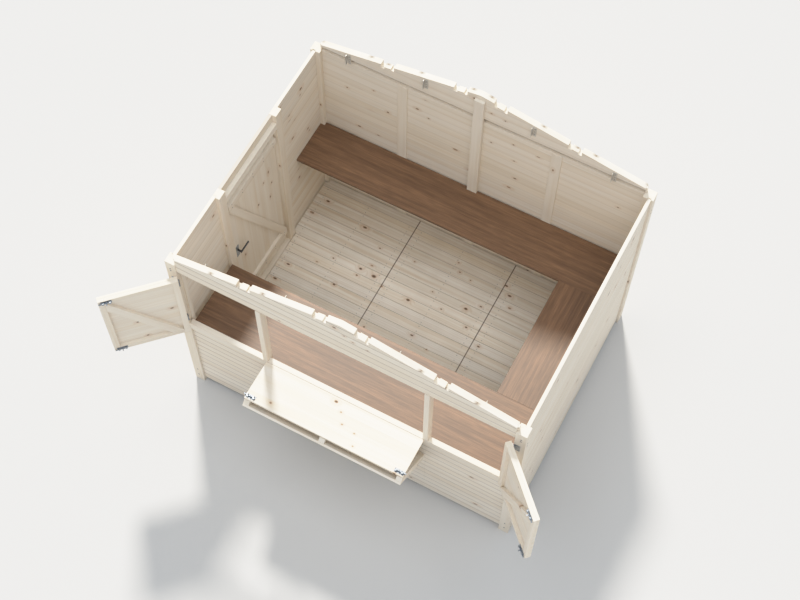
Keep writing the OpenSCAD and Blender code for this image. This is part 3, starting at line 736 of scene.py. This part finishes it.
@dataclass
class Walls:
    """Boarded walls, rails, gables, lintel and threshold."""

    face: float = 82 * MM
    ease: float = 1.2 * MM
    rail_ease: float = 2.5 * MM
    gable_ease: float = 1.5 * MM
    # Joint lines as wide as the V grooves: the dark gap plus painted shade of the groove
    joint_side: float = 6.0 * MM
    outer_y: float = 1.106
    outer_x: float = 1.466
    gable_outer: float = 1.11
    lintel_outer: float = 1.45

    def build(self) -> None:
        """Dresses each wall with boards whose joints line up with the wall's own."""
        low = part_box("back_wall")[0].z
        across = SpruceFinish("spruce_wall_boards_x", Run.ALONG_X_UPRIGHT, self.face, low, joint=0.85,
                              joint_side=self.joint_side, outer=self.outer_y,
                              spots=((-0.545, 1.856, 0.011), (-0.441, 1.793, 0.007), (-0.813, 1.619, 0.009),
                                     (-0.944, 1.839, 0.006), (-1.192, 1.717, 0.007), (0.308, 1.952, 0.007),
                                     (0.118, 1.848, 0.006)), seed=5.0)
        sides = SpruceFinish("spruce_wall_boards_y", Run.ALONG_Y_UPRIGHT, self.face, low, joint=0.85,
                             joint_side=self.joint_side, outer=self.outer_x,
                             spots=((0.798, 1.892, 0.014), (0.783, 1.827, 0.007), (0.851, 1.246, 0.010),
                                    (0.653, 0.750, 0.012), (-0.553, 1.908, 0.012)), seed=8.0)
        rails = SpruceFinish("spruce_rails", Run.ALONG_X_UPRIGHT, 0.3, 0.9, seed=11.0)
        for node in ("front_wall_left", "front_wall_middle", "front_wall_right", "back_wall"):
            piece = eased_copy(node, "boards_" + node, self.ease)
            dress(piece, across.material(), "stall")
        for node in ("left_wall_front", "left_wall_back", "right_wall"):
            piece = eased_copy(node, "boards_" + node, self.ease)
            dress(piece, sides.material(), "stall")
        dress(eased_copy("front_sills", "rails_front", self.rail_ease), rails.material(), "stall")
        for node, seed in (("front_gable", 14.0), ("back_gable", 17.0)):
            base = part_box(node)[0].z
            wood = SpruceFinish("spruce_" + node, Run.ALONG_X_UPRIGHT, self.face, base, joint=0.8,
                                joint_side=self.joint_side, outer=self.gable_outer,
                                spots=((-0.047, 2.357, 0.012), (0.031, 2.291, 0.007), (0.101, 2.257, 0.007),
                                       (0.221, 2.237, 0.006)), seed=seed)
            dress(eased_copy(node, "boards_" + node, self.gable_ease), wood.material(), "stall")
        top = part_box("door_lintel")[0].z
        lintel = SpruceFinish("spruce_lintel", Run.ALONG_Y_UPRIGHT, self.face, top, joint=0.6,
                              outer=self.lintel_outer, seed=20.0)
        dress(eased_copy("door_lintel", "boards_door_lintel", self.ease), lintel.material(), "stall")
        sill = SpruceFinish("spruce_threshold", Run.ALONG_Y_UPRIGHT, 0.3, 0.0, soil=0.5, seed=22.0)
        dress(eased_copy("door_threshold", "rail_threshold", self.ease), sill.material(), "stall")


@dataclass
class Floor:
    """Planked floor panels on joists."""

    face: float = 93 * MM
    joist_in: float = 62.5 * MM
    screw_side: float = 26 * MM
    screw_r: float = 3.8 * MM
    ease: float = 1.0 * MM
    joist_ease: float = 2.0 * MM

    def build(self, steel: bpy.types.Material) -> None:
        """Dresses the planks and joists and screws the planks down.

        Args:
            steel: The screws' finish.
        """
        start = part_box("floor_middle")[0].y
        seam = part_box("floor_middle")[1].x
        planks = SpruceFinish("spruce_planks", Run.ALONG_X_FLAT, self.face, start, pale="F0E9DC", honey="CBB08C",
                              ring_part=0.34, streak_part=0.30, soil=0.14, joint=0.62, knot_share=0.07,
                              spots=((-0.669, 0.663, 0.007), (-0.987, 0.379, 0.007), (-0.722, 0.400, 0.012),
                                     (-0.721, 0.327, 0.008), (-0.582, 0.388, 0.017), (-0.474, 0.333, 0.008),
                                     (-0.853, 0.151, 0.011), (-0.332, 0.689, 0.007), (0.071, 0.784, 0.008),
                                     (0.191, 0.756, 0.006), (-0.052, 0.497, 0.006), (-0.205, 0.323, 0.014),
                                     (0.093, 0.381, 0.007), (0.282, 0.485, 0.013), (0.366, 0.325, 0.009),
                                     (-0.420, -0.089, 0.007), (0.018, 0.865, 0.007), (0.160, -0.028, 0.006)),
                              seams=(-seam, seam), tone_part=0.10, seed=25.0).material()
        for node in ("floor_left", "floor_middle", "floor_right"):
            dress(eased_copy(node, "planks_" + node, self.ease), planks, "stall")
        joists = SpruceFinish("spruce_joists", Run.ALONG_Y_FLAT, 0.2, seed=27.0).material()
        dress(eased_copy("floor_joists", "timber_joists", self.joist_ease), joists, "stall")
        screws = Screws(head_r=self.screw_r).group("floor_screws", self.screw_places())
        dress(screws, steel, "stall")

    def screw_places(self) -> list[tuple[Vector, Vector]]:
        """Finds two screws on each plank over each joist.

        Returns:
            Point and outward direction of each screw.
        """
        places = []
        for node in ("floor_left", "floor_middle", "floor_right"):
            low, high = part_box(node)
            middle = (low.x + high.x) / 2
            planks = int((high.y - low.y) / self.face)
            for x in (low.x + self.joist_in, middle, high.x - self.joist_in):
                for plank in range(planks):
                    for side in (-1, 1):
                        y = low.y + (plank + 0.5) * self.face + side * self.screw_side
                        places.append((Vector((x, y, high.z)), Vector((0, 0, 1))))
        return places


@dataclass
class Worktops:
    """Laminated worktops with their cleats and gussets."""

    ease: float = 1.5 * MM
    timber_ease: float = 2.0 * MM

    def build(self) -> None:
        """Dresses the worktops and what carries them."""
        lengthways = LaminateFinish("oak_laminate_x", lengthways=True).material()
        sideways = LaminateFinish("oak_laminate_y", lengthways=False).material()
        for node, finish in (("worktop_back", lengthways), ("worktop_front", lengthways), ("worktop_right", sideways)):
            dress(eased_copy(node, "laminate_" + node, self.ease), finish, "stall")
        cleats = SpruceFinish("spruce_cleats", Run.ALONG_X_UPRIGHT, 0.3, 0.9, seed=31.0).material()
        dress(eased_copy("worktop_cleats", "timber_cleats", self.timber_ease), cleats, "stall")
        gussets = SpruceFinish("spruce_gussets", Run.ALONG_Z_WIDE_X, 0.4, seed=33.0).material()
        dress(eased_copy("worktop_gussets", "timber_gussets", self.timber_ease), gussets, "stall")


@dataclass
class Shutter:
    """One side-hung shutter: boards outside, a framed and braced inner face, straps and barrel bolts."""

    side: str
    axis: tuple[float, float] = (1.402, -1.150)
    turn: float = math.radians(135)
    face: float = 82 * MM
    start: float = 2 * MM
    width: float = 618 * MM
    foot: float = 1.136
    head: float = 1.975
    back: float = 31 * MM
    front: float = 59 * MM
    stile: float = 50 * MM
    brace: float = 75 * MM
    hinge_in: float = 130 * MM
    board_half: float = 21 * MM
    knots: tuple[tuple[float, float, float], ...] = (
        (0.100, 1.541, 0.011), (0.380, 1.461, 0.010), (0.338, 1.204, 0.009))
    board_ease: float = 1.2 * MM
    steel_ease: float = 0.5 * MM
    strap_face: float = 7 * MM
    strap_screws: tuple[float, ...] = (45 * MM, 115 * MM, 190 * MM)
    strap_half: float = 28 * MM

    @property
    def body(self) -> str:
        """The body that the shutter moves with."""
        return f"shutter_{self.side}"

    @property
    def sign(self) -> int:
        """One for the left shutter and minus one for the right one."""
        return 1 if self.side == "left" else -1

    def place(self) -> Matrix:
        """Where the open shutter's own frame lies, mirrored for the right one."""
        left = Matrix.Translation((-self.axis[0], self.axis[1], 0)) @ Matrix.Rotation(-self.turn, 4, "Z")
        return left if self.side == "left" else Matrix.Scale(-1, 4, (1, 0, 0)) @ left

    def wood(self, name: str, run: Run, rise: float = 0.0, seed: float = 40.0, **settings) -> bpy.types.Material:
        """Builds a wood whose grain follows the open shutter.

        Args:
            name: The material's name.
            run: Direction of the grain in the shutter's frame.
            rise: Extra slope of the grain in the shutter's plane.
            seed: Seed of the pattern.
            **settings: Other fields of the finish.

        Returns:
            The material.
        """
        lean = Matrix.Rotation(self.sign * rise, 3, "Y") @ Matrix.Rotation(self.sign * self.turn, 3, "Z")
        return SpruceFinish(name, run, turn=tuple(lean.to_euler()), seed=seed + self.sign, **settings).material()

    def members(self) -> list[tuple[Member, bpy.types.Material]]:
        """Lists the stiles, rails and brace with their woods.

        Returns:
            Each member with its material.
        """
        x0, x1 = self.start + self.stile, self.width - self.stile
        z0, z1 = self.foot + self.stile, self.head - self.stile
        rise = math.atan2(z1 - z0, x1 - x0)
        upright = self.wood(f"spruce_{self.body}_stiles", Run.ALONG_Z_WIDE_X, pitch=0.4)
        level = self.wood(f"spruce_{self.body}_rails", Run.ALONG_X_UPRIGHT, pitch=0.4, seed=42.0)
        sloping = self.wood(f"spruce_{self.body}_brace", Run.ALONG_X_UPRIGHT, rise, pitch=0.6, seed=45.0)
        across = Vector((math.sin(rise), 0, -math.cos(rise))) * self.brace / 2
        middle = Vector(((x0 + x1) / 2, (self.back + self.front) / 2, (z0 + z1) / 2)) + across
        half = Vector((math.hypot(x1 - x0, z1 - z0) / 2 + self.brace, (self.front - self.back) / 2, self.brace / 2))
        sawn = (((x1, 0, 0), (1, 0, 0)), ((0, 0, z0), (0, 0, -1)))
        name = f"leaf_{self.side}"
        return [
            (Member(f"{name}_stile_hinge", (self.start, self.back, self.foot), (x0, self.front, self.head)), upright),
            (Member(f"{name}_stile_free", (x1, self.back, self.foot), (self.width, self.front, self.head)), upright),
            (Member(f"{name}_rail_foot", (x0, self.back, self.foot), (x1, self.front, z0)), level),
            (Member(f"{name}_rail_head", (x0, self.back, z1), (x1, self.front, self.head)), level),
            (Member(f"{name}_brace", tuple(middle - half), tuple(middle + half), rise, sawn), sloping)]

    def build(self, zinc: bpy.types.Material, steel: bpy.types.Material) -> None:
        """Dresses the boards and fittings, models the frame and sets the screws.

        Args:
            zinc: The straps' and bolts' finish.
            steel: The screws' finish.
        """
        hinge = Matrix.Rotation(self.turn, 3, "Z") @ Vector((-self.axis[0], self.axis[1], 0))
        knots = tuple((hinge.x + x, z, radius) for x, z, radius in self.knots) if self.side == "left" else ()
        wood = self.wood(f"spruce_{self.body}_boards", Run.ALONG_X_UPRIGHT, pitch=self.face, start=self.foot, joint=0.6,
                         outer=abs(hinge.y) - self.board_half, spots=knots, seed=47.0)
        boards = eased_copy(f"{self.body}_boards", f"leaf_{self.side}_boards", self.board_ease)
        dress(boards, wood, self.body)
        for member, grain in self.members():
            piece = dress(member.build(self.place()), grain, self.body)
            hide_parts(f"{self.body}_frame")
        fittings = eased_copy(f"{self.body}_fittings", f"leaf_{self.side}_steel", self.steel_ease)
        dress(fittings, zinc, self.body)
        heights = (self.foot + self.hinge_in, self.head - self.hinge_in)
        places = screw_rows(self.place(), self.strap_screws, self.strap_face, heights, self.strap_half, -1)
        dress(Screws().group(f"leaf_{self.side}_screws", places), steel, self.body)


@dataclass
class Door:
    """Ledged and braced door of upright boards in the left wall, with straps outside and a lever inside."""

    axis: tuple[float, float] = (-1.490, 0.361)
    width: float = 756 * MM
    foot: float = 0.131
    head: float = 1.914
    face: float = 82 * MM
    back: float = 31 * MM
    front: float = 59 * MM
    side_in: float = 14 * MM
    ledge: float = 90 * MM
    ledge_low: float = 140 * MM
    ledge_high: float = 210 * MM
    brace: float = 75 * MM
    hinges: tuple[float, float] = (0.321, 1.754)
    plate: float = 4 * MM
    outer: float = 1.469
    board_ease: float = 1.2 * MM
    steel_ease: float = 1.0 * MM
    screw_r: float = 4.2 * MM
    strap_face: float = 7 * MM
    strap_screws: tuple[float, ...] = (45 * MM, 130 * MM, 220 * MM, 305 * MM)
    strap_half: float = 28 * MM
    ledge_screws: tuple[float, ...] = (60 * MM, 215 * MM, 378 * MM, 540 * MM, 696 * MM)
    ledge_half: float = 22 * MM

    def place(self) -> Matrix:
        """Where the closed door's own frame lies."""
        return Matrix.Translation((self.axis[0], self.axis[1], 0)) @ Matrix.Rotation(math.radians(-90), 4, "Z")

    def members(self) -> list[tuple[Member, bpy.types.Material]]:
        """Lists the ledges and the brace with their woods.

        Returns:
            Each member with its material.
        """
        x0, x1 = self.side_in, self.width - self.side_in
        low, high = self.foot + self.ledge_low, self.head - self.ledge_high
        run, climb = x1 - x0 - self.brace, high - low - self.ledge
        slope = math.atan2(climb, run)
        level = SpruceFinish("spruce_door_ledges", Run.ALONG_Y_UPRIGHT, 0.4, 0.0, seed=52.0).material()
        lean = Matrix.Rotation(slope, 3, "Y") @ Matrix.Rotation(math.radians(90), 3, "Z")
        sloping = SpruceFinish("spruce_door_brace", Run.ALONG_X_UPRIGHT, 0.6, turn=tuple(lean.to_euler()),
                               seed=54.0).material()
        middle = Vector(((x0 + x1) / 2, (self.back + self.front) / 2, (low + self.ledge + high) / 2))
        half = Vector((math.hypot(run, climb) / 2 + self.brace, (self.front - self.back) / 2,
                       self.brace * math.sin(slope) / 2))
        sawn = (((0, 0, high), (0, 0, 1)), ((0, 0, low + self.ledge), (0, 0, -1)))
        return [
            (Member("door_ledge_low", (x0, self.back, low), (x1, self.front, low + self.ledge)), level),
            (Member("door_ledge_high", (x0, self.back, high), (x1, self.front, high + self.ledge)), level),
            (Member("door_brace", tuple(middle - half), tuple(middle + half), slope, sawn), sloping)]

    def build(self, zinc: bpy.types.Material, steel: bpy.types.Material) -> None:
        """Dresses the boards and fittings, models the ledges and brace and sets the screws.

        Args:
            zinc: The finish of the straps and the lever's plate.
            steel: The lever's and screws' finish.
        """
        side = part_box("door_boards")[1].y
        wood = SpruceFinish("spruce_door_boards", Run.ALONG_Z_WIDE_Y, self.face, side, joint=0.6, outer=self.outer,
                            spots=((1.379, 0.144, 0.008), (1.230, 0.255, 0.008), (1.190, 0.036, 0.009)), seed=50.0)
        boards = eased_copy("door_boards", "door_planks", self.board_ease)
        dress(boards, wood.material(), "door")
        for member, grain in self.members():
            piece = dress(member.build(self.place()), grain, "door")
            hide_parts("door_ledges")
        fittings = dress(eased_copy("door_fittings", "door_steel", self.steel_ease), zinc, "door")
        fittings.data.materials.append(steel)
        for polygon in fittings.data.polygons:
            if polygon.center.x > self.axis[0] + self.back + self.plate:
                polygon.material_index = 1
        ledges = tuple(z + self.ledge / 2 for z in (self.foot + self.ledge_low, self.head - self.ledge_high))
        straps = screw_rows(self.place(), self.strap_screws, self.strap_face, self.hinges, self.strap_half, -1)
        inside = screw_rows(self.place(), self.ledge_screws, self.front, ledges, self.ledge_half, 1)
        dress(Screws(head_r=self.screw_r).group("door_screws", straps + inside), steel, "door")


@dataclass
class Flap:
    """Level flap of the middle bay with its lower leaf, bolts and hinges."""

    face: float = 82 * MM
    prop_turn: float = math.radians(42)
    top_ease: float = 1.5 * MM
    leaf_ease: float = 1.2 * MM
    frame_ease: float = 2.0 * MM
    steel_ease: float = 0.5 * MM

    def build(self, zinc: bpy.types.Material) -> None:
        """Dresses both leaves and their fittings.

        Args:
            zinc: The fittings' finish.
        """
        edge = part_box("flap_boards")[0].y
        lean = (self.prop_turn, 0, 0)
        flap = SpruceFinish("spruce_flap_boards", Run.ALONG_X_FLAT, self.face, edge, joint=0.08,
                            spots=((-0.049, -1.181, 0.013), (0.027, -1.241, 0.007), (0.083, -1.328, 0.008),
                                   (0.204, -1.350, 0.007), (0.243, -1.447, 0.006), (-0.494, -1.431, 0.008)), seed=56.0)
        lower = SpruceFinish("spruce_leaf_boards", Run.ALONG_X_FLAT, self.face, 0.0, lean, seed=58.0)
        under = SpruceFinish("spruce_leaf_frame", Run.ALONG_X_FLAT, 0.3, 0.0, lean, seed=60.0)
        for node, name, ease, finish, slot in (
                ("flap_boards", "leaf_flap_boards", self.top_ease, flap.material(), "spruce_boards"),
                ("flap_leaf_boards", "leaf_lower_boards", self.leaf_ease, lower.material(), "spruce_boards"),
                ("flap_leaf_frame", "leaf_lower_frame", self.frame_ease, under.material(), "spruce_frame"),
                ("flap_fittings", "leaf_flap_steel", self.steel_ease, zinc, "fittings")):
            dress(eased_copy(node, name, ease), finish, "stall")


@dataclass
class FixedSteel:
    """Hinge plates on the posts and the rail, and the angle plates on the gables, with their screws."""

    shutter_axis: tuple[float, float] = (1.402, -1.150)
    shutter_hinges: tuple[float, float] = (1.266, 1.845)
    hinge_screws: tuple[float, float] = (26 * MM, 50 * MM)
    hinge_half: float = 30 * MM
    hinge_face: float = 6 * MM
    plates: tuple[float, float] = (0.467, 1.157)
    plate_screws: tuple[float, ...] = (24 * MM, 56 * MM, 88 * MM)
    plate_drop: float = 16 * MM
    plate_side: float = 3 * MM
    plate_t: float = 4 * MM
    ridge: float = 2.4273
    slope: float = math.radians(10.4)
    gable_y: float = 1.082
    hinge_ease: float = 0.5 * MM
    plate_ease: float = 0.8 * MM
    screw_r: float = 4.2 * MM

    def build(self, zinc: bpy.types.Material, steel: bpy.types.Material) -> None:
        """Dresses the fixed steel and sets its screws; the angle plates have gone dull and pale.

        Args:
            zinc: The plates' finish.
            steel: The screws' finish.
        """
        for node in ("shutter_hinge_mounts", "flap_hinge_mounts", "door_hinge_mounts"):
            dress(eased_copy(node, "steel_" + node, self.hinge_ease), zinc, "stall")
        dull = ZincFinish("dull_white_zinc", "DAD6CE", "B6B2AA", metal=0.25).material()
        dress(eased_copy("gable_brackets", "steel_angle_plates", self.plate_ease), dull, "stall")
        places = []
        for side in (-1, 1):
            for z in self.shutter_hinges:
                for x in self.hinge_screws:
                    for up in (-self.hinge_half, self.hinge_half):
                        point = (side * (self.shutter_axis[0] + x), self.shutter_axis[1] + self.hinge_face, z + up)
                        places.append((Vector(point), Vector((0, -1, 0))))
            for x in (-self.plates[1], -self.plates[0], self.plates[0], self.plates[1]):
                top = self.ridge - abs(x) * math.tan(self.slope) - self.plate_drop
                for down in self.plate_screws:
                    point = (x + self.plate_side, side * (self.gable_y - self.plate_t), top - down)
                    places.append((Vector(point), Vector((0, -side, 0))))
        dress(Screws(head_r=self.screw_r).group("steel_screws", places), steel, "stall")


@dataclass
class Studio:
    """Pale floor, soft light and the camera."""

    eye: tuple[float, float, float] = (2.580, -5.136, 12.139)
    look: tuple[float, float, float] = (-0.2111, 0.4023, -0.8908)
    roll: float = math.radians(0.44)
    lens: float = 69.1
    key_way: tuple[float, float, float] = (0.505, -0.774, -1.0)
    top_way: tuple[float, float, float] = (-0.06, 0.22, -0.97)
    sensor: float = 36.0
    reach: float = 200.0
    key_power: float = 4.4
    key_spread: float = math.radians(8)
    key_tint: tuple[float, float, float] = (1.0, 0.945, 0.85)
    top_power: float = 1.45
    top_spread: float = math.radians(58)
    top_tint: tuple[float, float, float] = (1.0, 1.0, 1.0)
    sky_power: float = 0.50
    sky_tint: tuple[float, float, float, float] = (0.88, 0.945, 1.0, 1.0)
    brightest: float = 3.0
    shoulder: tuple[tuple[float, float], ...] = (
        (0.45, 0.45), (0.8, 0.73), (1.2, 0.885), (1.6, 0.955), (2.0, 0.985))
    paper: str = "C8C8C8"
    paper_size: float = 80.0
    paper_rough: float = 0.9

    def build(self) -> None:
        """Sets up the picture's tones, the floor, lamps, sky and camera."""
        self.film()
        self.floor()
        self.light()
        self.camera()

    def film(self) -> None:
        """Shows colours as they are up to the mid tones and lets sunlit planes roll off softly above them."""
        view = bpy.context.scene.view_settings
        view.view_transform = "Standard"
        view.use_curve_mapping = True
        mapping = view.curve_mapping
        mapping.clip_max_x = self.brightest + 1.0
        curve = mapping.curves[3]
        curve.points[1].location = (self.brightest, 1.0)
        for bright, shown in self.shoulder:
            curve.points.new(bright, shown)
        mapping.update()

    def floor(self) -> None:
        """Lays a large pale floor under the booth."""
        deselect()
        bpy.ops.mesh.primitive_plane_add(size=self.paper_size)
        ground = bpy.context.active_object
        ground.name = "studio_floor"
        made = bpy.data.materials.new("studio_floor_paper")
        made.use_nodes = True
        shader = made.node_tree.nodes["Principled BSDF"]
        shader.inputs["Base Color"].default_value = rgba(self.paper)
        shader.inputs["Roughness"].default_value = self.paper_rough
        ground.data.materials.append(made)

    def light(self) -> None:
        """A soft key from the back left, a wide overhead fill that leaves no gloss and an even pale sky."""
        for name, way, power, spread, tint in (
                ("key", self.key_way, self.key_power, self.key_spread, self.key_tint),
                ("overhead", self.top_way, self.top_power, self.top_spread, self.top_tint)):
            lamp = bpy.data.lights.new(name, "SUN")
            lamp.energy = power
            lamp.angle = spread
            lamp.color = tint
            holder = bpy.data.objects.new(name, lamp)
            holder.rotation_euler = Vector(way).to_track_quat("-Z", "Y").to_euler()
            holder.visible_glossy = name == "key"
            bpy.context.scene.collection.objects.link(holder)
        world = bpy.data.worlds.new("sky")
        world.use_nodes = True
        sky = world.node_tree.nodes["Background"]
        sky.inputs["Color"].default_value = self.sky_tint
        sky.inputs["Strength"].default_value = self.sky_power
        bpy.context.scene.world = world

    def camera(self) -> None:
        """Places the camera high at the right front, looking down into the booth."""
        forward = Vector(self.look).normalized()
        right = Vector((forward.y, -forward.x, 0)).normalized()
        above = right.cross(forward)
        across = math.cos(self.roll) * right + math.sin(self.roll) * above
        upward = math.cos(self.roll) * above - math.sin(self.roll) * right
        lens = bpy.data.cameras.new("camera")
        lens.lens = self.lens
        lens.sensor_width = self.sensor
        lens.clip_end = self.reach
        camera = bpy.data.objects.new("camera", lens)
        turn = Matrix((across, upward, -forward)).transposed().to_4x4()
        camera.matrix_world = Matrix.Translation(self.eye) @ turn
        bpy.context.scene.collection.objects.link(camera)
        bpy.context.scene.camera = camera


def main() -> None:
    """Builds the sub-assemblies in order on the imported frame."""
    logging.basicConfig(level=logging.INFO, format="%(name)s: %(message)s")
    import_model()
    zinc = ZincFinish("zinc_plated_steel").material()
    steel = ZincFinish("dark_plated_steel", "6C7077", "4A4E55").material()
    Posts().build(Screws(head_r=7.0 * MM, drive_r=2.8 * MM), steel)
    Walls().build()
    Floor().build(steel)
    Worktops().build()
    Shutter("left").build(zinc, steel)
    Shutter("right").build(zinc, steel)
    Door().build(zinc, steel)
    Flap().build(zinc)
    FixedSteel().build(zinc, steel)
    Studio().build()


if __name__ == "__main__":
    main()
